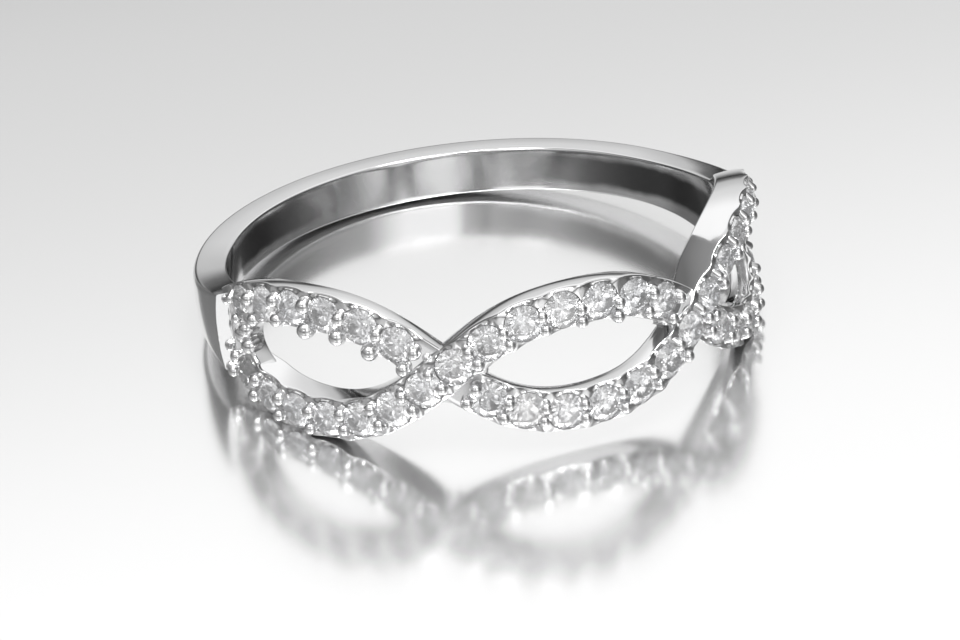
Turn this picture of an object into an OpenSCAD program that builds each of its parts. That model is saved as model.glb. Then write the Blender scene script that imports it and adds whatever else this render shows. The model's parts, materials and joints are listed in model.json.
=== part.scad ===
// Diamond wedding band: a plain polished shank whose front half splits into
// two interlaced strands. The strands cross twice and leave three pointed
// oval loops. A single row of small round stones follows each strand.
// Millimetres. The ring's own axis is Z before it is laid down to rest: it
// lies on its side on the plane z = 0, front towards -Y, on the low points
// of the two outer loops and on the back of the shank.

/* [Finger size] */
// Inside diameter of the ring
finger_d = 17.5; // [15:0.1:21]

/* [Shank] */
// Outside radius less inside radius at the shank
shank_t = 1.25; // [1.15:0.05:1.8]
// Width of the shank at the back
shank_w = 1.7; // [1.6:0.05:2.4]
// Width of the shank where it meets the ornament
end_w = 2.8; // [2.5:0.05:3.1]

/* [Strands] */
// Angle from the front centre to each end of the ornament
end_angle = 82.5; // [81.5:0.5:86]
// Angle from the front centre to each crossing
cross_angle = 28; // [26:0.5:30]
// Width of a strand, measured square to its run
strand_w = 1.44; // [1.35:0.01:1.6]
// Outer face of the strands above the finger hole, at the front centre
strand_t = 0.95; // [0.9:0.01:1.1]
// How much lower that face is at the ends of the ornament
face_drop = 0.2; // [0.0:0.01:0.25]
// Half height of the middle loop at the strand's centre line
mid_rise = 1.83; // [1.6:0.01:2.1]
// Half height of the outer loops at the strand's centre line
side_rise = 1.92; // [1.7:0.01:2.2]
// How much fuller than a cosine wave the loops are
fullness = 0.1; // [0.0:0.01:0.15]
// How far the outer loops are drawn out towards their ends
end_stretch = 1.28; // [1.2:0.02:1.5]
// Outward lift of the strand on top of a crossing, and drop of the one below
weave = 0.12; // [0.0:0.01:0.2]

/* [Stones] */
// Diameter of a stone at its girdle
stone_d = 1.2; // [0.9:0.01:1.22]
// Clear gap around a stone in its seat
seat_gap = 0.02; // [0.01:0.01:0.03]
// Stones on the short run of a strand, before it dives under a crossing
short_run = 6; // [5:1:6]
// Stones on the long run of a strand, from there to its far end
long_run = 14; // [11:1:14]

/* [Hidden] */
$fn = 96;

bore_r = finger_d / 2;
shank_r = bore_r + shank_t;
loop = 2 * cross_angle;
half = strand_w / 2;
cull = 10;

// Height of a strand's centre line at angle t from the front: low in the
// middle loop, high in both outer loops.
function wave(u, rise) = (rise + fullness) * cos(180 * u) - fullness * cos(540 * u);
function height(t) =
    abs(t) <= cross_angle ? -wave(abs(t) / loop, mid_rise)
    : abs(t) <= loop ? wave((loop - abs(t)) / loop, side_rise)
    : wave((abs(t) - loop) / (loop * end_stretch), side_rise);
// Radius of the strands' outer face, before the weave.
function plain_face(t) = bore_r + strand_t - face_drop * (1 - cos(t)) / (1 - cos(end_angle));
// Slope of the run, in millimetres up for each millimetre around.
function slope(t) = (height(t + 0.5) - height(t - 0.5)) / (plain_face(t) * PI / 180);
// Radius of the face with the weave: down at the first crossing, up at the
// second.
function face(t) = plain_face(t) + (abs(t) < loop ? weave * sin(180 * t / loop) : 0);

// A point of the strand: angle t, radius r, side step o square to the run.
function at(t, r, o) =
    let (a = atan(slope(t)),
         q = t - o * sin(a) / plain_face(t) * 180 / PI)
    [r * sin(q), -r * cos(q), height(t) + o * cos(a)];

// Cross section of a strand, as [radius, side step], all the way round. The
// outer corners are cut back a little and the sides lean in towards the hole.
function section(t) =
    let (f = face(t), i = bore_r - 0.35)
    [[i, -half * 0.86], [bore_r + 0.25, -half * 0.95], [f - 0.12, -half], [f, -half * 0.90],
     [f, half * 0.90], [f - 0.12, half], [bore_r + 0.25, half * 0.95], [i, half * 0.86]];

steps = 64;
strand_end = end_angle + 2;
angles = [for (i = [0:steps]) -strand_end + 2 * strand_end * i / steps];

module strand() {
    n = len(section(0));
    pts = [for (t = angles) for (p = section(t)) at(t, p[0], p[1])];
    walls = [for (i = [0:steps - 1]) for (j = [0:n - 1])
        for (tri = [[i * n + j, i * n + (j + 1) % n, (i + 1) * n + j],
                    [i * n + (j + 1) % n, (i + 1) * n + (j + 1) % n, (i + 1) * n + j]]) tri];
    first = [for (j = [n - 1:-1:0]) j];
    last = [for (j = [0:n - 1]) steps * n + j];
    polyhedron(points = pts, faces = concat(walls, [first, last]), convexity = 8);
}

// The second strand is the first one turned half round about the line from
// the finger's centre to the front.
module other() { rotate([0, 180, 0]) children(); }

// Run length along a strand, to space the stones evenly.
function grow(i, s) = i > steps ? [] :
    let (d = i == 0 ? 0 : norm(at(angles[i], plain_face(angles[i]), 0)
                               - at(angles[i - 1], plain_face(angles[i - 1]), 0)))
    concat([s + d], grow(i + 1, s + d));
runs = grow(0, 0);
by_angle = [for (i = [0:steps]) [angles[i], runs[i]]];
by_run = [for (i = [0:steps]) [runs[i], angles[i]]];
// Angles of n stones spread evenly from angle a to angle b.
function spread(a, b, n) =
    let (s = lookup(a, by_angle), e = lookup(b, by_angle))
    [for (i = [0:n - 1]) lookup(s + (e - s) * i / (n - 1), by_run)];
// The short run stops further from the step than the long run does.
seats = concat(spread(-end_angle + 7.2, -cross_angle - 8.5, short_run),
               spread(-cross_angle + 8.7, end_angle - 5.5, long_run));

// Puts its child on the strand's face at angle t, with +Z pointing outward.
module on_face(t) {
    translate([0, 0, height(t)])
        rotate([0, 0, t])
            translate([0, -face(t), 0])
                rotate([90, 0, 0]) children();
}

crown = 0.16 * stone_d;
pavilion = 0.42 * stone_d;
module stone() {
    rotate_extrude()
        polygon([[0, -pavilion], [stone_d / 2, -0.02], [stone_d / 2, 0.02],
                 [0.29 * stone_d, crown], [0, crown]]);
}
module stone_row() { for (t = seats) on_face(t) stone(); }
module seat_row() {
    for (t = seats) on_face(t) translate([0, 0, -pavilion - 0.05])
        cylinder(r = stone_d / 2 + seat_gap, h = pavilion + 1);
}

// Shank: a low domed band whose height falls from the ends of the ornament
// to the back in one long hollow curve on each edge.
flare_y = bore_r * 0.55;
flare_drop = end_w / 2 - shank_w / 2;
flare_run = flare_y + shank_r * cos(end_angle);
flare_r = (flare_run * flare_run + flare_drop * flare_drop) / (2 * flare_drop);
dome = 0.12;
dome_r = (end_w * end_w / 4 + dome * dome) / (2 * dome);
module shank() {
    difference() {
        rotate_extrude()
            intersection() {
                translate([bore_r - 0.4, -end_w / 2]) square([shank_t + 0.4, end_w]);
                translate([shank_r - dome_r, 0]) circle(r = dome_r);
            }
        // Room for the ornament. The shank ends in a flat upright step that
        // stands higher than the stones beside it.
        linear_extrude(height = cull, center = true)
            polygon([[0, 0], [-40 * sin(end_angle), -40 * cos(end_angle)], [-40, -40], [40, -40],
                     [40 * sin(end_angle), -40 * cos(end_angle)]]);
        for (s = [-1, 1]) {
            translate([0, flare_y, s * (shank_w / 2 + flare_r)]) rotate([0, 90, 0])
                cylinder(r = flare_r, h = 60, center = true, $fn = 360);
            translate([0, flare_y + 20, s * (shank_w / 2 + cull / 2)])
                cube([60, 40, cull], center = true);
        }
    }
}

// Plain web that closes the pointed end of an outer loop beside the shank. It
// runs a little way into the shank.
web_from = 13;
web_into = 1.2;
module end_web(side) {
    r = plain_face(end_angle - 5) - 0.1;
    rotate([0, 0, side * end_angle])
        difference() {
            rotate([0, 0, side > 0 ? -90 - web_from : -90 - web_into])
                rotate_extrude(angle = web_from + web_into)
                    translate([bore_r - 0.3, -0.9]) square([r - bore_r + 0.3, 1.8]);
            // pointed end of the opening: a wedge that faces the finger
            rotate([0, 0, -side * web_from / 2]) rotate([90, 0, 0]) linear_extrude(height = 20)
                polygon([[side * 0.25, 0], [-side * 1.0, 1.0], [-side * 3, 2.2],
                         [-side * 3, -2.2], [-side * 1.0, -1.0]]);
        }
}

// Small webs in the four corners of a crossing.
module cross_web(side) {
    rotate([0, 0, side * cross_angle]) rotate([90, 0, 0])
        linear_extrude(height = plain_face(cross_angle) - 0.2)
            polygon([[1.5, 0.22], [0.16, 1.02], [-0.16, 1.02], [-1.5, 0.22],
                     [-1.5, -0.22], [-0.16, -1.02], [0.16, -1.02], [1.5, -0.22]]);
}

// The ring lies on three points: it tilts until the outer loops' low edges
// and the back of the shank are level.
function low(t, r, o, tilt) = let (p = at(t, r, o)) -p[2] * cos(tilt) - p[1] * sin(tilt);
function front_low(tilt) = min([for (t = [44:1:68])
    min(low(t, face(t) - 0.12, half, tilt), low(t, bore_r + 0.25, half * 0.95, tilt),
        low(t, bore_r, half * 0.91, tilt))]);
back_edge = shank_r - dome_r + sqrt(dome_r * dome_r - shank_w * shank_w / 4);
function back_low(tilt) = -shank_w / 2 * cos(tilt) - back_edge * sin(tilt);
function level(a, b, n) = n == 0 ? (a + b) / 2 :
    let (m = (a + b) / 2) front_low(m) < back_low(m) ? level(m, b, n - 1) : level(a, m, n - 1);
tilt = level(0, 15, 24);
lift = -back_low(tilt);
module laid() { translate([0, 0, lift]) rotate([-tilt, 0, 0]) children(); }

module band() {
    color([0.86, 0.86, 0.87]) laid() difference() {
        union() {
            shank();
            strand();
            other() strand();
            for (s = [-1, 1]) { end_web(s); cross_web(s); }
        }
        cylinder(r = bore_r, h = cull * 2, center = true);
        seat_row();
        other() seat_row();
    }
}
module diamonds_strand_a() { color([0.93, 0.96, 1.0]) laid() stone_row(); }
module diamonds_strand_b() { color([0.93, 0.96, 1.0]) laid() other() stone_row(); }

band();
diamonds_strand_a();
diamonds_strand_b();
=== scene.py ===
import bpy, bmesh, json, math
import numpy as np
from mathutils import Matrix, Vector


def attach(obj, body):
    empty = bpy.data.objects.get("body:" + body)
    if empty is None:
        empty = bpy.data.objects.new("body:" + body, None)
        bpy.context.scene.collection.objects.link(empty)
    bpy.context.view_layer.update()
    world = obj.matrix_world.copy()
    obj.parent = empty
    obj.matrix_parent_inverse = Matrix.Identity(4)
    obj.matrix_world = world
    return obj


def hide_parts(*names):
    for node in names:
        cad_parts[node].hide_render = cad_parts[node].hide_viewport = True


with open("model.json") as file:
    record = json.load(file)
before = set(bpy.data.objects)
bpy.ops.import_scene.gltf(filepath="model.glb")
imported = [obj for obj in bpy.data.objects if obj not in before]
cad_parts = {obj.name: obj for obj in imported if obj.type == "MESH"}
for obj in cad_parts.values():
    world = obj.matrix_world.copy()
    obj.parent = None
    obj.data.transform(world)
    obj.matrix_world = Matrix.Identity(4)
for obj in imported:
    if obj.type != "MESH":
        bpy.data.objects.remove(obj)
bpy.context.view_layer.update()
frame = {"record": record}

# ---------------------------------------------------------------- the frame
# The ring's own frame has Z along its axis. It is laid down as the part is:
# leaned about X by TILT and lifted by LIFT, both read from the finger bore.
bore = [m for m in frame["record"]["mounts"] if m["name"] == "finger_bore"][0]
TILT = math.atan2(bore["axis"][1], bore["axis"][2])
LIFT = bore["pos_m"][2] * 1000
CT, ST = math.cos(TILT), math.sin(TILT)


def laid(p):
    """Ring frame in millimetres to the world in metres."""
    p = np.asarray(p, float)
    y = p[..., 1] * CT + p[..., 2] * ST
    z = -p[..., 1] * ST + p[..., 2] * CT + LIFT
    return np.stack([p[..., 0], y, z], -1) * 0.001


# ------------------------------------------------------------ the dimensions
BORE = 8.75
SHANK_R = 10.0
SHANK_W, END_W, END = 1.7, 2.8, 82.5
CROSS = 28.0
HALF = 0.72
STRAND_T, DROP = 0.95, 0.2
MID, SIDE, FULL, STRETCH = 1.83, 1.92, 0.10, 1.28
WEAVE = 0.12
STONE_D = 1.27
SEAT_R = STONE_D / 2 + 0.012
LOOP = 2 * CROSS


def wave(u, rise):
    return (rise + FULL) * np.cos(np.pi * u) - FULL * np.cos(3 * np.pi * u)


def height(t):
    a = np.abs(t)
    return np.where(
        a <= CROSS,
        -wave(a / LOOP, MID),
        np.where(a <= LOOP, wave((LOOP - a) / LOOP, SIDE), wave((a - LOOP) / (LOOP * STRETCH), SIDE)),
    )


def plain_face(t):
    return BORE + STRAND_T - DROP * (1 - np.cos(np.radians(t))) / (1 - math.cos(math.radians(END)))


def face(t):
    return plain_face(t) + np.where(np.abs(t) < LOOP, WEAVE * np.sin(np.pi * np.asarray(t, float) / LOOP), 0)


def slope(t):
    return (height(t + 0.5) - height(t - 0.5)) / (plain_face(t) * np.pi / 180)


def at(t, r, o):
    """A point of strand A: angle t in degrees, radius r, side step o."""
    t, r, o = np.broadcast_arrays(np.asarray(t, float), np.asarray(r, float), np.asarray(o, float))
    a = np.arctan(slope(t))
    q = np.radians(t - np.degrees(o * np.sin(a) / plain_face(t)))
    return np.stack([r * np.sin(q), -r * np.cos(q), height(t) + o * np.cos(a)], -1)


def other(p):
    """Strand B is strand A turned half round about the line to the front."""
    p = np.asarray(p, float)
    return p * np.array([-1.0, 1.0, -1.0])


# run length along the strand
TT = np.linspace(-90, 90, 3601)
_c = at(TT, plain_face(TT), 0)
SS = np.concatenate([[0], np.cumsum(np.linalg.norm(np.diff(_c, axis=0), axis=1))])
SS -= np.interp(0, TT, SS)


def t_of(s):
    return np.interp(s, SS, TT)


def s_of(t):
    return np.interp(t, TT, SS)


def spread(a, b, n):
    return t_of(np.linspace(s_of(a), s_of(b), n))


SHORT = spread(-END + 7.2, -CROSS - 8.5, 6)
LONG = spread(-CROSS + 8.7, END - 5.5, 14)
SEATS = np.concatenate([SHORT, LONG])
S_SHORT, S_LONG = s_of(SHORT), s_of(LONG)


def ease(x):
    x = np.clip(x, 0, 1)
    return x * x * (3 - 2 * x)


# ------------------------------------------------------------- mesh helpers
class Mesh:
    """Collects points and faces, and merges points that lie closer than a given distance where asked."""

    def __init__(self):
        self.v, self.f = [], []

    def add(self, pts):
        pts = np.asarray(pts, float).reshape(-1, 3)
        i = len(self.v)
        self.v.extend(map(tuple, pts))
        return list(range(i, i + len(pts)))

    def quad_strip(self, a, b, closed=False):
        n = len(a)
        for i in range(n if closed else n - 1):
            j = (i + 1) % n
            self.f.append((a[i], a[j], b[j], b[i]))

    def obj(self, name, place=laid, merge=1e-7):
        me = bpy.data.meshes.new(name)
        pts = place(np.array(self.v))
        me.from_pydata([tuple(p) for p in pts], [], self.f)
        bm = bmesh.new()
        bm.from_mesh(me)
        if merge:
            bmesh.ops.remove_doubles(bm, verts=bm.verts, dist=merge)
        bmesh.ops.recalc_face_normals(bm, faces=bm.faces)
        bm.to_mesh(me)
        bm.free()
        ob = bpy.data.objects.new(name, me)
        bpy.context.scene.collection.objects.link(ob)
        return ob


def smooth(ob, angle=32):
    me = ob.data
    me.polygons.foreach_set("use_smooth", [True] * len(me.polygons))
    bm = bmesh.new()
    bm.from_mesh(me)
    lim = math.radians(angle)
    for e in bm.edges:
        e.smooth = not (len(e.link_faces) == 2 and e.calc_face_angle(0) > lim)
    bm.to_mesh(me)
    bm.free()
    me.update()


# -------------------------------------------------------------------- shank
FLARE_Y = BORE * 0.55
FLARE_DROP = END_W / 2 - SHANK_W / 2
FLARE_RUN = FLARE_Y + SHANK_R * math.cos(math.radians(END))
FLARE_R = (FLARE_RUN**2 + FLARE_DROP**2) / (2 * FLARE_DROP)
DOME = 0.12
DOME_R = (END_W**2 / 4 + DOME**2) / (2 * DOME)
LEAN = 0.75  # how far the step leans back at its top, in degrees around the ring


def shank_half(y):
    d = np.clip(FLARE_Y - y, 0, None)
    return np.minimum(END_W / 2, SHANK_W / 2 + FLARE_R - np.sqrt(np.maximum(FLARE_R**2 - d**2, 0)))


def shank_mesh():
    m = Mesh()
    us = np.linspace(END, 360 - END, 261)
    ri = 0.10
    rings = []
    for u in us:
        c, s = math.cos(math.radians(u)), math.sin(math.radians(u))
        # the edge is crisper where the shank ends in its upright step
        ro = 0.09 + 0.11 * float(ease((min(u - END, 360 - END - u) - 1.0) / 9.0))

        def hb(r):
            return float(shank_half(-r * c))

        half = []  # upper half of the section from the inner wall to the outer wall
        for k in range(1, 7):
            half.append((BORE, None, k / 7.0))
        for k in range(7):
            w = math.radians(90 * k / 6)
            half.append((BORE + ri - ri * math.cos(w), -ri + ri * math.sin(w), None))
        for k in range(1, 8):
            half.append((BORE + ri + (SHANK_R - ro - BORE - ri) * k / 8, 0.012 * math.sin(math.pi * k / 8), None))
        for k in range(9):
            w = math.radians(90 * k / 8)
            half.append((SHANK_R - ro + ro * math.sin(w), -ro + ro * math.cos(w), None))
        pts = []
        for r, dz, part in half:
            b = hb(r)
            z = (b - ri) * part if part is not None else b + dz
            # the outer wall is domed
            if r > BORE + 0.7:
                k = (r - BORE - 0.7) / (SHANK_R - BORE - 0.7)
                lean = DOME_R - math.sqrt(max(DOME_R**2 - min(z, b) ** 2, 0))
                r = r - lean * min(1.0, k) ** 2
            pts.append((r, z))
        b = hb(SHANK_R) - ro
        wall = []
        for k in range(1, 6):
            z = b * (1 - k / 6.0)
            wall.append((SHANK_R - (DOME_R - math.sqrt(DOME_R**2 - z * z)), z))
        upper = pts + wall
        mid_out = (SHANK_R, 0.0)
        mid_in = (BORE, 0.0)
        loop = [mid_in] + upper + [mid_out] + [(r, -z) for r, z in reversed(upper)]
        # the step's face leans back a little from the stones
        near = max(0.0, 1 - min(u - END, 360 - END - u) / 4.0)
        way = 1 if u < 180 else -1
        pts = []
        for r, z in loop:
            q = math.radians(u + way * LEAN * near * min(1.0, max(0.0, (r - 9.42) / 0.55)))
            pts.append((r * math.sin(q), -r * math.cos(q), z))
        rings.append(m.add(pts))
    for a, b in zip(rings[:-1], rings[1:]):
        m.quad_strip(a, b, closed=True)
    # end faces, in strips from the inner wall to the outer one
    for ring, flip in ((rings[0], True), (rings[-1], False)):
        n = len(ring) // 2 - 1
        up, dn = [ring[1 + i] for i in range(n)], [ring[2 * n + 1 - i] for i in range(n)]
        faces = [(ring[0], up[0], dn[0])]
        faces += [(up[i], up[i + 1], dn[i + 1], dn[i]) for i in range(n - 1)]
        faces.append((up[-1], ring[n + 1], dn[-1]))
        m.f.extend([tuple(reversed(q)) if flip else q for q in faces])
    return m


# ------------------------------------------------------------------ strands
NS, NO = 16, 8  # cell divisions along and across
SIDE_ROWS = 9
RIM = 0.05  # how far the rim stands over the girdles' plane
EDGE = 0.05  # rounding of the strand's outer edge
SCOOP = 0.13  # how deep the rim is cut down beside each stone


def inside(t):
    """Radius of the strand's inner wall: one loop is a little heavier towards the finger."""
    return BORE + 0.01 - 0.33 * ease((t - 27) / 9) * (1 - ease((t - 72) / 10))


def inner_edge(t, side):
    """Rounding of the edges inside the finger hole: worn round at the foot of the middle loop."""
    if side > 0:
        return 0.13 + 0.15 * float(ease((29 - abs(t)) / 5)) + 0.08 * float(ease((t - 4) / 8) * ease((27 - t) / 4))
    return 0.13


def rim_at(t):
    """Height of the rim over the girdles' plane: it sinks beside the shank's step."""
    return RIM - 0.06 * ease((np.abs(t) - 79.4) / 1.6)


def outer_edge(t, side):
    """Rounding of the edge between face and side: broader on the outside of the middle loop."""
    w = ease((34 - abs(t)) / 14)
    return EDGE + (0.09 * w if side < 0 else 0.0)


def strand_mesh():
    """One strand as a closed sweep, with a pocket in its face for each stone."""
    m = Mesh()
    ends = [s_of(-END - 1.6)]
    cells = []
    # cell borders: half way between neighbouring stones
    for run in (S_SHORT, S_LONG):
        p = run[1] - run[0]
        cells.append([(float(s), float(p)) for s in run])
    hw = HALF - EDGE  # half width of the face inside the rounded edge

    def put(s, o, dr):
        """Point on the strand's face, dr above the rim."""
        t = t_of(s)
        return at(t, face(t) + rim_at(t) + dr, o)

    def side_profile(s, side, cut):
        """Points from the face's edge down one side to the middle of the inner wall."""
        t = float(t_of(s))
        full = float(face(t) + rim_at(t))
        f = full - cut
        e = outer_edge(t, side)
        rho = inner_edge(t, side)
        r0 = inside(t)
        out = []
        for k in range(1, 6):
            w = math.radians(90 * k / 5)
            out.append((f - e + e * math.cos(w), hw + (HALF - hw) * math.sin(w)))
        lo = r0 + rho
        for k in range(1, SIDE_ROWS):
            q = k / SIDE_ROWS
            r = (f - e) + (lo - f + e) * q
            qa = min(1.0, max(0.0, (full - e - r) / (full - e - lo)))
            out.append((r, HALF * (1 - 0.10 * qa**2.2)))
        top = HALF * 0.90
        for k in range(0, 7):
            w = math.radians(90 * k / 6)
            out.append((lo - rho * math.sin(w), top - rho + rho * math.cos(w)))
        for k in range(1, 4):
            out.append((r0, (top - rho) * (1 - k / 4)))
        return out

    columns = []  # one per station along the strand: [face row across, side +, side -]

    def station(s, row, cut=0.0):
        t = t_of(s)
        plus = m.add([at(t, r, o) for r, o in side_profile(s, 1, cut)])
        minus = m.add([at(t, r, -o) for r, o in side_profile(s, -1, cut)])
        mid = m.add([at(t, inside(float(t)), 0)])
        columns.append((row, plus, minus, mid[0]))

    def plain_row(s):
        return m.add([put(s, o, 0) for o in np.linspace(-hw, hw, NO + 1)])

    def plain_run(a, b, first):
        n = max(1, int(round((b - a) / 0.11)))
        prev = first
        for k in range(1, n + 1):
            s = a + (b - a) * k / n
            row = plain_row(s)
            station(s, row)
            for i in range(NO):
                m.f.append((prev[i], prev[i + 1], row[i + 1], row[i]))
            prev = row
        return prev

    def stone_cell(s0, p, left):
        """left is the face row at the cell's left border. Returns the right one."""
        xs = np.linspace(-p / 2, p / 2, NS + 1)
        os_ = np.linspace(-hw, hw, NO + 1)
        dip = SCOOP * np.clip(1 - (np.abs(xs) / (0.43 * p)) ** 2.4, 0, 1)
        bottom, top = [left[0]], [left[-1]]
        right = None
        for k in range(1, NS + 1):
            s = s0 + xs[k]
            if k < NS:
                b = m.add([put(s, -hw, -dip[k])])[0]
                tp = m.add([put(s, hw, -dip[k])])[0]
                bottom.append(b)
                top.append(tp)
                station(s, (b, tp), dip[k])
            else:
                right = plain_row(s)
                bottom.append(right[0])
                top.append(right[-1])
                station(s, right)
        # the border, anticlockwise from the lower left corner
        border = bottom + right[1:] + top[-2::-1] + left[-2:0:-1]
        bxy = (
            [(x, -hw) for x in xs]
            + [(p / 2, o) for o in os_[1:]]
            + [(x, hw) for x in xs[-2::-1]]
            + [(-p / 2, o) for o in os_[-2:0:-1]]
        )
        ang = [math.atan2(y, x) for x, y in bxy]
        prev = border

        def ring(frac, r, dr, follow):
            """frac 1 is the border, 0 the circle of radius r; follow is how much of the scoop it takes."""
            pts = []
            for (x, y), a in zip(bxy, ang):
                cx, cy = r * math.cos(a), r * math.sin(a)
                px_, py_ = cx + (x - cx) * frac, cy + (y - cy) * frac
                d = SCOOP * max(0.0, 1 - (abs(px_) / (0.43 * p)) ** 2.4) * ease((abs(py_) - 0.38) / 0.26)
                pts.append(put(s0 + px_, py_, dr - d * follow))
            return m.add(pts)

        lip = min(SEAT_R + 0.030, p / 2 - 0.006)
        steps = [
            ring(0.5, lip, 0.0, 0.75),
            ring(0.0, lip, 0.0, 0.45),
            ring(0.0, lip - 0.008, -0.004, 0.40),
            ring(0.0, SEAT_R + 0.002, -0.058, 0.1),
            ring(0.0, SEAT_R, -0.075, 0.0),
            ring(0.0, SEAT_R, -0.14, 0.0),
            ring(0.0, SEAT_R * 0.93, -0.17, 0.0),
            ring(0.0, SEAT_R * 0.30, -0.56, 0.0),
        ]
        for r in steps:
            m.quad_strip(prev, r, closed=True)
            prev = r
        m.f.append(tuple(prev))
        return right

    # left end
    s = s_of(-END - 1.6)
    row = plain_row(s)
    station(s, row)
    cur = s
    for run in (S_SHORT, S_LONG):
        p = float(run[1] - run[0])
        row = plain_run(cur, run[0] - p / 2, row)
        for s0 in run:
            row = stone_cell(float(s0), p, row)
        cur = float(run[-1] + p / 2)
    row = plain_run(cur, s_of(END + 1.6), row)
    # sides
    for (ra, pa, ma, ca), (rb, pb, mb, cb) in zip(columns[:-1], columns[1:]):
        ta, tb = ra[-1], rb[-1]
        ba, bb = ra[0], rb[0]
        m.quad_strip([ta] + pa + [ca], [tb] + pb + [cb])
        m.quad_strip([bb] + mb + [cb], [ba] + ma + [ca])
    for col, flip in ((columns[0], False), (columns[-1], True)):
        r, p_, m_, c = col
        loop = list(r) + p_ + [c] + list(reversed(m_))
        m.f.append(tuple(loop if flip else reversed(loop)))
    return m


# --------------------------------------------------------------------- webs
def prism(outline, angle, r0, r1):
    """A radial prism: outline of (x, z) in millimetres, x along the tangent at the angle."""
    m = Mesh()
    a = math.radians(angle)
    er = np.array([math.sin(a), -math.cos(a), 0])
    et = np.array([math.cos(a), math.sin(a), 0])
    lo = m.add([er * r0 + et * x + np.array([0, 0, z]) for x, z in outline])
    hi = m.add([er * r1 + et * x + np.array([0, 0, z]) for x, z in outline])
    m.quad_strip(lo, hi, closed=True)
    m.f.append(tuple(reversed(lo)))
    m.f.append(tuple(hi))
    return m


def cross_outline(side):
    """Four hollow arcs between the arms of a crossing. One of the two valleys is filled deeper."""
    pts = []
    lo, hi = (1.13, 0.60) if side < 0 else (0.60, 0.86)
    arm, open_ = (1.42, 0.24) if side < 0 else (1.22, 0.08)
    corners = [((1.42, 0.24), (1.42, -0.24), 0), ((0.20, -lo), (-0.20, -lo), 1),
               ((-arm, -open_), (-arm, open_), 2), ((-0.20, hi), (0.20, hi), 3)]
    for (x0, z0), (x1, z1), k in corners:
        nx, nz = ((1, 0), (0, -1), (-1, 0), (0, 1))[k]
        sag = (0.05, 0.05, 0.05, 0.05)[k]
        for i in range(9):
            u = i / 8
            s = sag * (1 - (2 * u - 1) ** 2)
            pts.append((x0 + (x1 - x0) * u - nx * s, z0 + (z1 - z0) * u - nz * s))
    return pts


def end_web_mesh(side):
    """Fills the pointed end of an outer loop beside the shank, below the strands' faces."""
    m = Mesh()
    n = 36
    v = np.linspace(-1, 1, n + 1)
    zz = 1.25 * v
    back = END + 1.0
    reach = 5.9 + 5.6 * zz**2  # degrees from the end to the hollow edge, which runs on into the strands' sides
    r1 = float(plain_face(END - 5)) + 0.03
    rows = []
    prof = [(BORE + 0.01, 0.45), (BORE + 0.04, 0.15), (BORE + 0.12, 0.0), (r1 - 0.22, 0.0)]
    for k in range(1, 6):
        w = math.radians(90 * k / 5)
        prof.append((r1 - 0.22 + 0.16 * math.sin(w), 1.3 * (1 - math.cos(w))))
    prof.append((r1, 4.5))
    for r, inset in prof:
        front = [math.radians(side * (END - q + min(inset, q + 0.5))) for q in reach]
        sink = 0.08 * float(ease((r - (r1 - 0.3)) / 0.2))
        rows.append(
            (
                m.add([(r * math.sin(a), -r * math.cos(a), z) for a, z in zip(front, zz)]),
                m.add([((r - sink) * math.sin(math.radians(side * back)), -(r - sink) * math.cos(math.radians(side * back)), z) for z in zz]),
            )
        )
    for (fa, ba), (fb, bb) in zip(rows[:-1], rows[1:]):
        m.quad_strip(fa, fb)
        m.quad_strip(bb, ba)
        m.f.append((fa[0], ba[0], bb[0], fb[0]))
        m.f.append((fb[-1], bb[-1], ba[-1], fa[-1]))
    m.quad_strip(rows[0][1], rows[0][0])
    m.quad_strip(rows[-1][0], rows[-1][1])
    return m


def pocket_tools():
    """The seats of the upper strand's stones where the lower strand runs under them."""
    both = Mesh()
    n = 32
    prof = [(0.0, 0.30), (SEAT_R * 0.99, 0.30), (SEAT_R * 0.99, -0.13), (SEAT_R * 0.92, -0.16), (SEAT_R * 0.29, -0.55), (0.0, -0.55)]
    for turn in (False, True):
        for t in LONG:
            if abs(t - CROSS) > 11:
                continue
            s0 = float(s_of(t))
            m = Mesh()
            rings = []
            for r, dr in prof:
                q = [(r * math.cos(2 * math.pi * k / n), r * math.sin(2 * math.pi * k / n)) for k in range(n)] if r else [(0.0, 0.0)]
                pts = [at(t_of(s0 + x), face(t_of(s0 + x)) + RIM + dr, o) for x, o in q]
                rings.append(m.add(pts))
            for a, b in zip(rings[1:-2], rings[2:-1]):
                m.quad_strip(a, b, closed=True)
            for k in range(n):
                j = (k + 1) % n
                m.f.append((rings[0][0], rings[1][k], rings[1][j]))
                m.f.append((rings[-1][0], rings[-2][j], rings[-2][k]))
            base = len(both.v)
            pts = np.array(m.v)
            if turn:
                pts = other(pts)
            both.v.extend(map(tuple, pts))
            both.f.extend([tuple(i + base for i in q) for q in m.f])
    return both


# ----------------------------------------------------------- union of metal
def boolean(target, tool, how="UNION", solver="EXACT"):
    md = target.modifiers.new("join", "BOOLEAN")
    md.operation = how
    md.object = tool
    md.solver = solver
    bpy.context.view_layer.objects.active = target
    dg = bpy.context.evaluated_depsgraph_get()
    me = bpy.data.meshes.new_from_object(target.evaluated_get(dg), depsgraph=dg)
    target.modifiers.clear()
    old = target.data
    target.data = me
    bpy.data.meshes.remove(old)
    bpy.data.objects.remove(tool)


def mirrored(m):
    q = Mesh()
    q.v = [tuple(p) for p in other(np.array(m.v))]
    q.f = [tuple(reversed(f)) for f in m.f]
    return q


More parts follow.
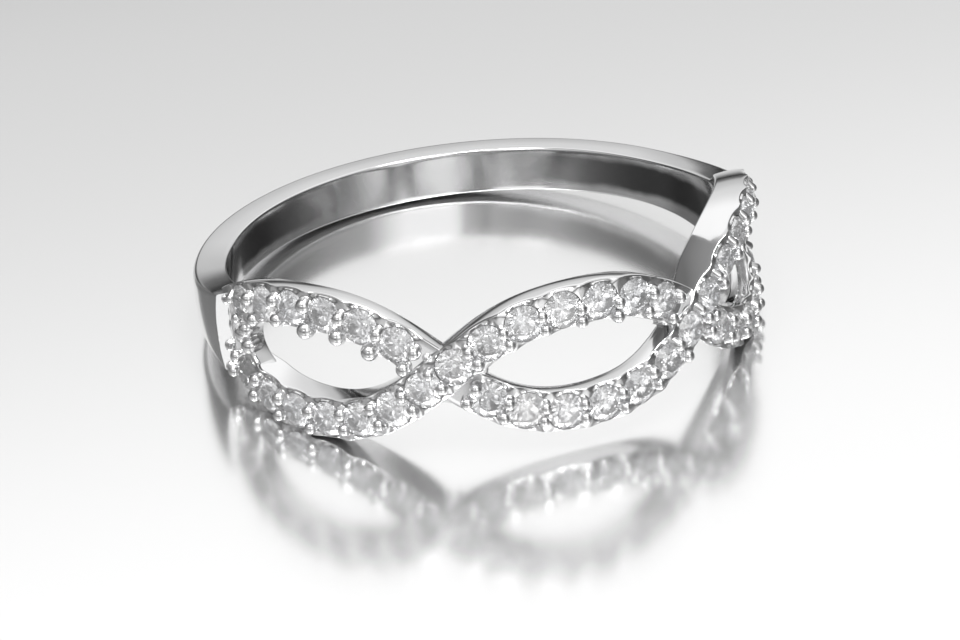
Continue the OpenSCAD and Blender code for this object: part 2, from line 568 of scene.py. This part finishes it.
shank = shank_mesh().obj("band_metal")
sa = strand_mesh()
strand_a = sa.obj("strand_a")
strand_b = mirrored(sa).obj("strand_b")
webs = [prism(cross_outline(s), s * CROSS, BORE + 0.012, float(plain_face(CROSS)) - 0.24).obj("web_%d" % i) for i, s in enumerate((-1, 1))]
ends = [end_web_mesh(s).obj("end_web_%d" % i) for i, s in enumerate((-1, 1))]
metal = shank
for tool in [strand_a, strand_b] + webs + ends:
    boolean(metal, tool, solver="MANIFOLD")
boolean(metal, pocket_tools().obj("pockets"), how="DIFFERENCE", solver="MANIFOLD")
metal.name = "band_metal"
metal.data.name = "band_metal"
smooth(metal, 30)


# -------------------------------------------------------------------- beads
def capsule(p0, p1, r0, r1, up, n=20, k=7):
    """A round-ended bead from p0 to p1: two spheres and the cone between."""
    p0, p1 = np.asarray(p0, float), np.asarray(p1, float)
    d = p1 - p0
    length = np.linalg.norm(d)
    w = d / length
    u = np.cross(w, up)
    u /= np.linalg.norm(u)
    v = np.cross(w, u)
    m = Mesh()
    sn = (r0 - r1) / length
    beta = math.asin(max(-0.99, min(0.99, sn)))
    rings = []
    tip0 = m.add([p0 - w * r0])[0]
    for i in range(1, k + 1):
        a = (math.pi / 2 + beta) * i / k
        c, s = math.cos(a), math.sin(a)
        rings.append(m.add([p0 - w * r0 * c + r0 * s * (u * math.cos(q) + v * math.sin(q)) for q in np.linspace(0, 2 * math.pi, n, endpoint=False)]))
    for i in range(0, k):
        a = (math.pi / 2 + beta) + (math.pi / 2 - beta) * i / k
        c, s = math.cos(a), math.sin(a)
        rings.append(m.add([p1 - w * r1 * c + r1 * s * (u * math.cos(q) + v * math.sin(q)) for q in np.linspace(0, 2 * math.pi, n, endpoint=False)]))
    tip1 = m.add([p1 + w * r1])[0]
    for a, b in zip(rings[:-1], rings[1:]):
        m.quad_strip(a, b, closed=True)
    for i in range(n):
        m.f.append((tip0, rings[0][(i + 1) % n], rings[0][i]))
        m.f.append((tip1, rings[-1][i], rings[-1][(i + 1) % n]))
    return m


# Where a pair of beads was set off the middle of its gap. Gap number along the strand:
# (step along, upper bead's side step, lower bead's, lower one's radius, upper one's radius).
OFF_A = {0: (0.12, 0.24, -0.44, 0.17, 0.16), 1: (0.02, 0.20, -0.54, 0.24, 0.23), 2: (0.04, 0.24, -0.44, 0.24, 0.24),
         3: (0.02, 0.26, -0.60, 0.31, 0.27), 4: (-0.02, 0.12, -0.56, 0.30, 0.25), 5: (-0.03, 0.10, -0.62, 0.30, 0.24),
         6: (-0.05, 0.16, -0.55, 0.25, 0.24), 7: (0.08, 0.19, -0.39, 0.22, 0.22), 8: (-0.02, 0.15, -0.37, 0.22, 0.21),
         9: (-0.10, 0.21, -0.24, 0.19, 0.20), 10: (-0.10, 0.24, -0.26, 0.21, 0.20), 11: (-0.08, 0.21, -0.34, 0.21, 0.20),
         12: (-0.10, 0.25, -0.28, 0.21, 0.21), 13: (-0.10, 0.24, -0.40, 0.22, 0.21),
         14: (0.0, 0.24, -0.30, 0.20, 0.16), 15: (0.0, 0.22, -0.26, 0.20, 0.16), 16: (0.03, 0.22, -0.30, 0.21, 0.16),
         17: (0.0, 0.24, -0.28, 0.21, 0.16), 18: (-0.03, 0.24, -0.32, 0.21, 0.16), 19: (0.0, 0.24, -0.28, 0.21, 0.16),
         20: (0.0, 0.24, -0.30, 0.20, 0.16), 21: (0.0, 0.26, -0.30, 0.20, 0.16)}
OFF_B = {0: (0.12, 0.30, -0.30, 0.17, 0.17), 7: (0.10, 0.27, -0.46, 0.22, 0.22), 8: (0.02, 0.20, -0.44, 0.22, 0.22), 9: (0.02, -0.12, -0.57, 0.23, 0.22),
         10: (0.10, -0.08, -0.50, 0.22, 0.22), 11: (0.06, 0.07, -0.42, 0.20, 0.20), 12: (0.04, 0.08, -0.39, 0.20, 0.20),
         13: (-0.04, 0.15, -0.36, 0.22, 0.21), 14: (0.10, 0.34, -0.28, 0.22, 0.20), 15: (0.02, 0.26, -0.32, 0.21, 0.22),
         16: (-0.02, 0.34, -0.28, 0.21, 0.22), 17: (-0.06, 0.30, -0.25, 0.23, 0.24), 18: (-0.03, 0.22, -0.38, 0.23, 0.24),
         19: (0.03, 0.28, -0.36, 0.23, 0.25), 20: (-0.02, 0.36, -0.30, 0.24, 0.25), 21: (0.0, 0.36, -0.38, 0.22, 0.22)}
# Soft pads on the web that closes the pointed end of each outer loop: degrees, height, radius.
PADS = [(-79.6, 0.02, 0.36), (-77.3, 0.30, 0.30), (-77.0, -0.30, 0.32)]


def bead_gaps():
    out = []
    for run in (S_SHORT, S_LONG):
        p = run[1] - run[0]
        out += [run[0] - p / 2] + [0.5 * (a + b) for a, b in zip(run[:-1], run[1:])] + [run[-1] + p / 2]
    return [float(v) for v in out]


def beads_mesh():
    """A pair of beads in each gap between stones: a ball that holds both girdles, and its
    foot running out over the strand's edge."""
    both = Mesh()
    rng = np.random.RandomState(7)
    for turn, table in ((False, OFF_A), (True, OFF_B)):
        for g, s in enumerate(bead_gaps()):
            j = rng.uniform(-1, 1, 8)
            along, up, down, big, high = table.get(g, (0.03 * j[0], 0.27 + 0.05 * j[1], -0.30 + 0.05 * j[2], 0.21, 0.21))
            # strand B is A turned over, so its upper bead is on A's minus side
            pair = ((up, high + 0.006 * j[3]), (down, big + 0.006 * j[4]))
            for o, r0 in pair:
                side = math.copysign(1, o) if abs(o) > 0.15 else (1 if o == up else -1)
                if turn:
                    o, side = -o, -side
                t = float(t_of(s + along))
                f = float(face(t))
                p0 = at(t, f + 0.17, o)
                if abs(o) > 0.33:  # hangs over the edge, with its foot on the strand's side
                    p1 = at(t, f - 0.20, side * (min(abs(o), 0.52) + 0.03))
                    r1 = r0 * 0.84
                else:  # a tongue that runs out on the rim
                    p1 = at(t, f, side * min(0.54, side * o + (0.10 if r0 > 0.18 else 0.18)))
                    r1 = r0 * 0.86
                er = at(t, f, 0.2) - at(t, f, 0)
                c = capsule(p0, p1, r0, r1, er if abs(o) > 0.33 else at(t, f + 1, 0) - at(t, f, 0))
                base = len(both.v)
                pts = np.array(c.v)
                if turn:
                    pts = other(pts)
                both.v.extend(map(tuple, pts))
                both.f.extend([tuple(i + base for i in q) for q in c.f])
            # one more on the bare metal before the strand dives under the crossing
    for turn in (False, True):
        t, o, r0 = -31.3, 0.22, 0.15
        f = float(face(t))
        c = capsule(at(t, f + 0.06, o), at(t, f - 0.12, o + 0.08), r0, r0 * 0.9, at(t, f, 0.2) - at(t, f, 0))
        base = len(both.v)
        pts = np.array(c.v)
        if turn:
            pts = other(pts)
        both.v.extend(map(tuple, pts))
        both.f.extend([tuple(i + base for i in q) for q in c.f])
    # small pads on the web that closes the pointed end of each outer loop
    for turn in (False, True):
        for t, z, size in PADS:
            a = math.radians(t)
            d = np.array([math.sin(a), -math.cos(a), 0])
            top = float(plain_face(t)) + 0.13 - size
            c = capsule(d * top + [0, 0, z], d * (top - 0.2) + [0, 0, z], size, size * 0.9, np.array([0, 0, 1.0]))
            base = len(both.v)
            pts = np.array(c.v)
            if turn:
                pts = other(pts)
            both.v.extend(map(tuple, pts))
            both.f.extend([tuple(i + base for i in q) for q in c.f])
    return both


beads = beads_mesh().obj("beads", merge=1e-8)
smooth(beads, 60)


# ----------------------------------------------------------------- diamonds
def brilliant(d):
    """A round brilliant cut, girdle plane at z = 0, +z up. 57 facets and the girdle."""
    R = d / 2
    table = 0.56 * R
    crown = 0.155 * d
    pav = 0.43 * d
    g = 0.012 * d
    v, f = [], []

    def P(r, a, z):
        v.append((r * math.cos(a), r * math.sin(a), z))
        return len(v) - 1

    e = math.pi / 8
    T = [P(table, 2 * e * k + e * 0, crown + g) for k in range(8)]  # table corners
    # upper girdle 16 points
    G = [P(R, e * k, g) for k in range(16)]
    # star/kite meeting points between the table's corners
    mid_r = table + (R - table) * 0.50
    # each meeting point lies half way out from the table to the girdle, at 56% of the crown's height
    zc = crown * 0.56 + g
    M = [P(mid_r * 1.0, 2 * e * k + e, zc) for k in range(8)]
    for k in range(8):
        j = (k + 1) % 8
        f.append((T[k], M[k], T[j]))  # star
        # kite: table corner k, meeting point k-1, girdle 2k, meeting point k
        f.append((T[k], M[k - 1], G[2 * k], M[k]))
        # upper halves
        f.append((M[k], G[2 * k], G[2 * k + 1]))
        f.append((M[k], G[2 * k + 1], G[(2 * k + 2) % 16]))
    f.append(tuple(T))
    H = [P(R, e * k, -g) for k in range(16)]
    for k in range(16):
        j = (k + 1) % 16
        f.append((G[k], H[k], H[j], G[j]))
    c = P(0, 0, -pav - g)
    # pavilion: mains from girdle 2k, lower halves meet at 78% of the way down
    low = 0.22
    N = [P(R * low * 1.02, 2 * e * k + e, -g - pav * (1 - low)) for k in range(8)]
    for k in range(8):
        j = (k + 1) % 8
        f.append((H[2 * k], N[k - 1], c, N[k]))
        f.append((H[2 * k], N[k], H[2 * k + 1]))
        f.append((H[2 * k + 1], N[k], H[(2 * k + 2) % 16]))
    return np.array(v), f


def stones_obj(name, turn_b):
    v0, f0 = brilliant(STONE_D)
    m = Mesh()
    rng = np.random.RandomState(11 if turn_b else 5)
    for t in SEATS:
        t = float(t)
        f = float(face(t))
        er = at(t, f + 1, 0) - at(t, f, 0)
        er[2] = 0
        er /= np.linalg.norm(er)
        c = at(t, f + 0.0, 0)
        ez = np.array([0, 0, 1.0])
        et = np.cross(ez, er)
        # each stone is set by hand: turned at random and a touch off level
        a = rng.uniform(0, math.pi / 4)
        lean = np.radians(rng.uniform(-1.6, 1.6, 2))
        n = er + et * lean[0] + ez * lean[1]
        n /= np.linalg.norm(n)
        u = np.cross(ez, n)
        u /= np.linalg.norm(u)
        w = np.cross(n, u)
        x = u * math.cos(a) + w * math.sin(a)
        y = np.cross(n, x)
        pts = c + v0[:, :1] * x + v0[:, 1:2] * y + v0[:, 2:3] * n
        if turn_b:
            pts = other(pts)
        b = len(m.v)
        m.v.extend(map(tuple, pts))
        m.f.extend([tuple(i + b for i in q) for q in f0])
    ob = m.obj(name, merge=0)
    ob.data.polygons.foreach_set("use_smooth", [False] * len(ob.data.polygons))
    return ob


dia_a = stones_obj("diamonds_a", False)
dia_b = stones_obj("diamonds_b", True)


# ---------------------------------------------------------------- materials
def nodes_of(name):
    mat = bpy.data.materials.new(name)
    mat.use_nodes = True
    nt = mat.node_tree
    return mat, nt, nt.nodes["Principled BSDF"]


def link_math(nt, op, a, b=None):
    n = nt.nodes.new("ShaderNodeMath")
    n.operation = op
    for i, q in enumerate((a, b)):
        if q is None:
            continue
        if isinstance(q, (int, float)):
            n.inputs[i].default_value = q
        else:
            nt.links.new(q, n.inputs[i])
    return n.outputs[0]


def fade(nt, x, x0, x1, y0, y1):
    """Smooth ramp from y0 at x0 to y1 at x1."""
    n = nt.nodes.new("ShaderNodeMapRange")
    n.interpolation_type = "SMOOTHSTEP"
    n.inputs["From Min"].default_value = x0
    n.inputs["From Max"].default_value = x1
    n.inputs["To Min"].default_value = y0
    n.inputs["To Max"].default_value = y1
    nt.links.new(x, n.inputs["Value"])
    return n.outputs["Result"]


def white_gold(name, smoothest, roughest, painted_inner_shade=False):
    mat, nt, bs = nodes_of(name)
    N, L = nt.nodes, nt.links
    bs.inputs["Metallic"].default_value = 1.0
    bs.inputs["IOR"].default_value = 2.6
    tc = N.new("ShaderNodeTexCoord")
    # slow change of tone from the plating, and fine handling marks
    slow = N.new("ShaderNodeTexNoise")
    slow.inputs["Scale"].default_value = 260.0
    slow.inputs["Detail"].default_value = 3.0
    L.new(tc.outputs["Object"], slow.inputs["Vector"])
    ramp = N.new("ShaderNodeValToRGB")
    ramp.color_ramp.elements[0].position = 0.3
    ramp.color_ramp.elements[0].color = (0.80, 0.80, 0.805, 1)
    ramp.color_ramp.elements[1].position = 0.7
    ramp.color_ramp.elements[1].color = (0.86, 0.86, 0.862, 1)
    L.new(slow.outputs["Fac"], ramp.inputs["Fac"])
    if painted_inner_shade:
        # painted shade and reflection: on the wall that lies on the finger, back from the front, the base colour is
        # darkened towards the left and the right, most in a band along the middle of its height with wavy edges,
        # standing in for the dark reflections there; the upper and lower edges stay lighter
        xyz = N.new("ShaderNodeSeparateXYZ")
        L.new(tc.outputs["Object"], xyz.inputs[0])
        X, Y, Z = xyz.outputs
        zl = link_math(nt, "SUBTRACT", Z, LIFT * 0.001)
        y0 = link_math(nt, "SUBTRACT", link_math(nt, "MULTIPLY", Y, CT), link_math(nt, "MULTIPLY", zl, ST))
        z0 = link_math(nt, "ADD", link_math(nt, "MULTIPLY", Y, ST), link_math(nt, "MULTIPLY", zl, CT))
        r0 = link_math(nt, "SQRT", link_math(nt, "ADD", link_math(nt, "MULTIPLY", X, X), link_math(nt, "MULTIPLY", y0, y0)))
        wall = link_math(nt, "MULTIPLY", fade(nt, r0, 0.00876, 0.00884, 1, 0), fade(nt, y0, -0.0022, -0.0012, 0, 1))
        shade_wobble = N.new("ShaderNodeTexNoise")
        shade_wobble.inputs["Scale"].default_value = 700.0
        shade_wobble.inputs["Detail"].default_value = 3.0
        L.new(tc.outputs["Object"], shade_wobble.inputs["Vector"])
        sway = link_math(nt, "MULTIPLY", link_math(nt, "SUBTRACT", shade_wobble.outputs["Fac"], 0.5), 0.0004)
        mid = fade(nt, link_math(nt, "ADD", link_math(nt, "ABSOLUTE", link_math(nt, "SUBTRACT", z0, 0.00008)), sway), 0.00040, 0.00072, 1, 0.25)
        left = fade(nt, X, -0.0064, -0.0014, 0.92, 0.0)
        right = fade(nt, X, 0.0030, 0.0082, 0.0, 0.90)
        painted_shade = link_math(nt, "MULTIPLY", link_math(nt, "MULTIPLY", link_math(nt, "MAXIMUM", left, right), mid), wall)
        keep = link_math(nt, "SUBTRACT", 1.0, painted_shade)
        dim = N.new("ShaderNodeVectorMath")
        dim.operation = "SCALE"
        L.new(ramp.outputs["Color"], dim.inputs[0])
        L.new(keep, dim.inputs["Scale"])
        L.new(dim.outputs[0], bs.inputs["Base Color"])
    else:
        L.new(ramp.outputs["Color"], bs.inputs["Base Color"])
    fine = N.new("ShaderNodeTexNoise")
    fine.inputs["Scale"].default_value = 2600.0
    fine.inputs["Detail"].default_value = 6.0
    fine.inputs["Roughness"].default_value = 0.62
    L.new(tc.outputs["Object"], fine.inputs["Vector"])
    rr = N.new("ShaderNodeMapRange")
    rr.inputs["From Min"].default_value = 0.35
    rr.inputs["From Max"].default_value = 0.75
    rr.inputs["To Min"].default_value = smoothest
    rr.inputs["To Max"].default_value = roughest
    L.new(fine.outputs["Fac"], rr.inputs["Value"])
    L.new(rr.outputs["Result"], bs.inputs["Roughness"])
    bump = N.new("ShaderNodeBump")
    bump.inputs["Strength"].default_value = 0.06
    bump.inputs["Distance"].default_value = 0.00001
    L.new(slow.outputs["Fac"], bump.inputs["Height"])
    L.new(bump.outputs["Normal"], bs.inputs["Normal"])
    return mat


def diamond():
    mat, nt, bs = nodes_of("diamond")
    N, L = nt.nodes, nt.links
    bs.inputs["Transmission Weight"].default_value = 0.94
    # painted light: the stones glow faintly white (emission 0.032), which brightens them
    bs.inputs["Emission Color"].default_value = (1, 1, 1, 1)
    bs.inputs["Emission Strength"].default_value = 0.032
    bs.inputs["IOR"].default_value = 2.417
    bs.inputs["Roughness"].default_value = 0.0
    tc = N.new("ShaderNodeTexCoord")
    nz = N.new("ShaderNodeTexNoise")
    nz.inputs["Scale"].default_value = 900.0
    nz.inputs["Detail"].default_value = 2.0
    L.new(tc.outputs["Object"], nz.inputs["Vector"])
    ramp = N.new("ShaderNodeValToRGB")
    ramp.color_ramp.elements[0].position = 0.35
    ramp.color_ramp.elements[0].color = (0.97, 0.98, 1.0, 1)
    ramp.color_ramp.elements[1].position = 0.65
    ramp.color_ramp.elements[1].color = (1.0, 1.0, 1.0, 1)
    L.new(nz.outputs["Fac"], ramp.inputs["Fac"])
    L.new(ramp.outputs["Color"], bs.inputs["Base Color"])
    return mat


gold, bead_gold, ice = white_gold("white_gold", 0.05, 0.11, True), white_gold("white_gold_beads", 0.16, 0.24), diamond()
for ob, mat in ((metal, gold), (beads, bead_gold)):
    ob.data.materials.clear()
    ob.data.materials.append(mat)
for ob in (dia_a, dia_b):
    ob.data.materials.clear()
    ob.data.materials.append(ice)

for ob, node, slot in ((metal, "band", "white_gold"), (beads, "band", "white_gold"),
                       (dia_a, "diamonds_strand_a", "diamond"), (dia_b, "diamonds_strand_b", "diamond")):
    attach(ob, "root")
    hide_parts(node)

# -------------------------------------------------------------------- stage
fm = bpy.data.meshes.new("floor")
S = 0.6
fm.from_pydata([(-S, -S, 0), (S, -S, 0), (S, S, 0), (-S, S, 0)], [], [(0, 1, 2, 3)])
floor = bpy.data.objects.new("floor", fm)
bpy.context.scene.collection.objects.link(floor)
fmat, fnt, fbs = nodes_of("floor_gloss")


# pale glossy floor; painted shade: its base colour greys from 0.92 near the camera to 0.77 towards the back, standing
# in for the light and reflections that dim there
tc = fnt.nodes.new("ShaderNodeTexCoord")
sep = fnt.nodes.new("ShaderNodeSeparateXYZ")
fnt.links.new(tc.outputs["Object"], sep.inputs[0])
deep = link_math(fnt, "ADD", link_math(fnt, "MULTIPLY", sep.outputs[0], 0.34), link_math(fnt, "MULTIPLY", sep.outputs[1], 0.94))
tone = fnt.nodes.new("ShaderNodeMapRange")
tone.inputs["From Min"].default_value = -0.021
tone.inputs["From Max"].default_value = 0.029
tone.inputs["To Min"].default_value = 0.92
tone.inputs["To Max"].default_value = 0.77
fnt.links.new(deep, tone.inputs["Value"])
mixc = fnt.nodes.new("ShaderNodeCombineColor")
for i in range(3):
    fnt.links.new(tone.outputs["Result"], mixc.inputs[i])
fnt.links.new(mixc.outputs[0], fbs.inputs["Base Color"])
fbs.inputs["Metallic"].default_value = 0.90
fbs.inputs["Roughness"].default_value = 0.17
fm.materials.append(fmat)

# -------------------------------------------------------------------- light
# A soft studio all round: a bright panel low behind, a broad one above, one on the
# camera's side, and darker sides, as in a tent with its side walls left grey.
world = bpy.data.worlds.new("studio")
bpy.context.scene.world = world
world.use_nodes = True
wt = world.node_tree
bg = wt.nodes["Background"]
wc = wt.nodes.new("ShaderNodeTexCoord")
wsep = wt.nodes.new("ShaderNodeSeparateXYZ")
wt.links.new(wc.outputs["Generated"], wsep.inputs[0])
WX, WY, WZ = wsep.outputs


def wm(op, a, b=None):
    return link_math(wt, op, a, b)


flat = wm("SQRT", wm("MAXIMUM", wm("ADD", wm("MULTIPLY", WX, WX), wm("MULTIPLY", WY, WY)), 1e-6))
el = wm("MULTIPLY", wm("ARCSINE", WZ), 180 / math.pi)


def around(azimuth):
    """Degrees between a direction's compass point and the azimuth (0 behind, 90 right)."""
    a = math.radians(azimuth)
    d = wm("DIVIDE", wm("ADD", wm("MULTIPLY", WX, math.sin(a)), wm("MULTIPLY", WY, math.cos(a))), flat)
    return wm("MULTIPLY", wm("ARCCOSINE", wm("MAXIMUM", wm("MINIMUM", d, 0.99999), -0.99999)), 180 / math.pi)


def panel(azimuth, half, soft, lo0, lo1, hi0, hi1, power):
    side = fade(wt, around(azimuth), half, half + soft, 1, 0)
    band = wm("MULTIPLY", fade(wt, el, lo0, lo1, 0, 1), fade(wt, el, hi0, hi1, 1, 0))
    return wm("MULTIPLY", wm("MULTIPLY", side, band), power)


def spot(azimuth, elevation, radius, soft, power):
    """A small round lamp, for the stones' fire."""
    a, e = math.radians(azimuth), math.radians(elevation)
    d = wm("MULTIPLY", WX, math.sin(a) * math.cos(e))
    d = wm("ADD", d, wm("MULTIPLY", WY, math.cos(a) * math.cos(e)))
    d = wm("ADD", d, wm("MULTIPLY", WZ, math.sin(e)))
    return fade(wt, wm("MULTIPLY", wm("ARCCOSINE", wm("MINIMUM", d, 0.99999)), 180 / math.pi), radius, radius + soft, power, 0)


parts = [
    fade(wt, el, 26, 58, 0.0, 0.55),  # above
    fade(wt, el, 60, 76, 0.0, -0.20),  # less straight overhead
    panel(174, 10, 28, 0, 12, 40, 62, 0.85),  # broad and soft, on the camera's side
    panel(-135, 12, 20, 2, 16, 28, 42, 0.30),
    panel(-183, 10, 7, 17, 23, 31, 37, 1.2),  # two low boxes, one each side of the camera
    panel(-140, 9, 7, 17, 22, 28, 34, 1.2),
    panel(-86, 18, 24, 32, 46, 80, 90, 0.26),
    panel(-92, 28, 18, 3, 12, 36, 56, 0.24),
    panel(50, 12, 20, 36, 52, 70, 88, 0.36),
    panel(12, 14, 14, -2, 6, 50, 70, 0.30),
    spot(-118, 64, 5, 3, 12.0),
    spot(168, 68, 5, 3, 12.0),
    spot(-150, 73, 5, 3, 12.0),
    spot(130, 70, 4, 3, 9.0),
    spot(-70, 74, 4, 3, 9.0),
    spot(100, 76, 5, 3, 9.0),
]
total = 0.11
for p_ in parts:
    total = wm("ADD", p_, total)
lens = panel(-160, 5, 5, 13, 19, 40, 47, 0.60)
total = wm("MULTIPLY", total, wm("SUBTRACT", 1.0, lens))
card = panel(-38, 20, 16, 30, 42, 60, 74, 0.5)  # a grey card, high behind on the left
total = wm("MULTIPLY", total, wm("SUBTRACT", 1.0, card))
wt.links.new(total, bg.inputs["Strength"])
bg.inputs["Color"].default_value = (1.0, 1.0, 1.0, 1)


def lit_board(name, centre, width, tall, ramp):
    """An upright board behind the ring that glows brighter with height: ramp is (height mm, power)."""
    me = bpy.data.meshes.new(name)
    w = width / 2000
    z0, z1 = centre[2] / 1000, (centre[2] + tall) / 1000
    me.from_pydata([(-w, 0, z0), (w, 0, z0), (w, 0, z1), (-w, 0, z1)], [], [(0, 1, 2, 3)])
    ob = bpy.data.objects.new(name, me)
    bpy.context.scene.collection.objects.link(ob)
    ob.location = (centre[0] / 1000, centre[1] / 1000, 0)
    mat = bpy.data.materials.new(name)
    mat.use_nodes = True
    nt = mat.node_tree
    nt.nodes.remove(nt.nodes["Principled BSDF"])
    em = nt.nodes.new("ShaderNodeEmission")
    nt.links.new(em.outputs[0], nt.nodes["Material Output"].inputs["Surface"])
    c = nt.nodes.new("ShaderNodeTexCoord")
    sp = nt.nodes.new("ShaderNodeSeparateXYZ")
    nt.links.new(c.outputs["Object"], sp.inputs[0])
    acc = None
    for (h0, p0), (h1, p1) in zip(ramp[:-1], ramp[1:]):
        step = fade(nt, sp.outputs[2], h0 / 1000, h1 / 1000, 0, p1 - p0)
        acc = link_math(nt, "ADD", step, ramp[0][1] if acc is None else acc)
    nt.links.new(acc, em.inputs["Strength"])
    me.materials.append(mat)
    ob.visible_camera = False
    return ob


lit_board("backdrop", (49, 90, 0), 140, 130, [(0, 0.02), (6, 0.14), (14, 0.60), (30, 0.80), (74, 1.12)])

# ------------------------------------------------------------------- camera
AZ, EL, ROLL, DIST, FPX, PX, PY = -19.885, 28.808, -3.053, 110.0, 3128.666, 478.012, 259.596


def camera():
    a, e, r = math.radians(AZ), math.radians(EL), math.radians(ROLL)
    pos = DIST * np.array([math.sin(a) * math.cos(e), -math.cos(a) * math.cos(e), math.sin(e)])
    fwd = -pos / DIST
    right = np.cross(fwd, [0, 0, 1.0])
    right /= np.linalg.norm(right)
    up = np.cross(right, fwd)
    Rv = math.cos(r) * right + math.sin(r) * up
    U = -math.sin(r) * right + math.cos(r) * up
    ox, oy = (PX - 480) / FPX, (320 - PY) / FPX
    v = np.array([ox, oy, 1.0])
    v /= np.linalg.norm(v)
    k = np.array([0, 0, 1.0])
    c = v @ k
    w = np.cross(k, v)
    s = np.linalg.norm(w)
    w /= s
    K = np.array([[0, -w[2], w[1]], [w[2], 0, -w[0]], [-w[1], w[0], 0]])
    M = np.eye(3) + s * K + (1 - c) * K @ K
    # rows of Q are the camera's right, up and forward axes in the world
    Q = M @ np.stack([Rv, U, fwd])
    cam = bpy.data.cameras.new("camera")
    cam.sensor_width = 36.0
    cam.lens = FPX * 36.0 / 960.0
    cam.clip_start, cam.clip_end = 0.005, 5.0
    ob = bpy.data.objects.new("camera", cam)
    bpy.context.scene.collection.objects.link(ob)
    mw = Matrix.Identity(4)
    for i in range(3):
        mw[i][0], mw[i][1], mw[i][2] = Q[0][i], Q[1][i], -Q[2][i]
    p = pos * 0.001
    mw[0][3], mw[1][3], mw[2][3] = p[0], p[1], p[2] + LIFT * 0.001
    ob.matrix_world = mw
    bpy.context.scene.camera = ob
    return ob


cam = camera()
sc = bpy.context.scene
sc.view_settings.view_transform = "Standard"
sc.view_settings.look = "None"
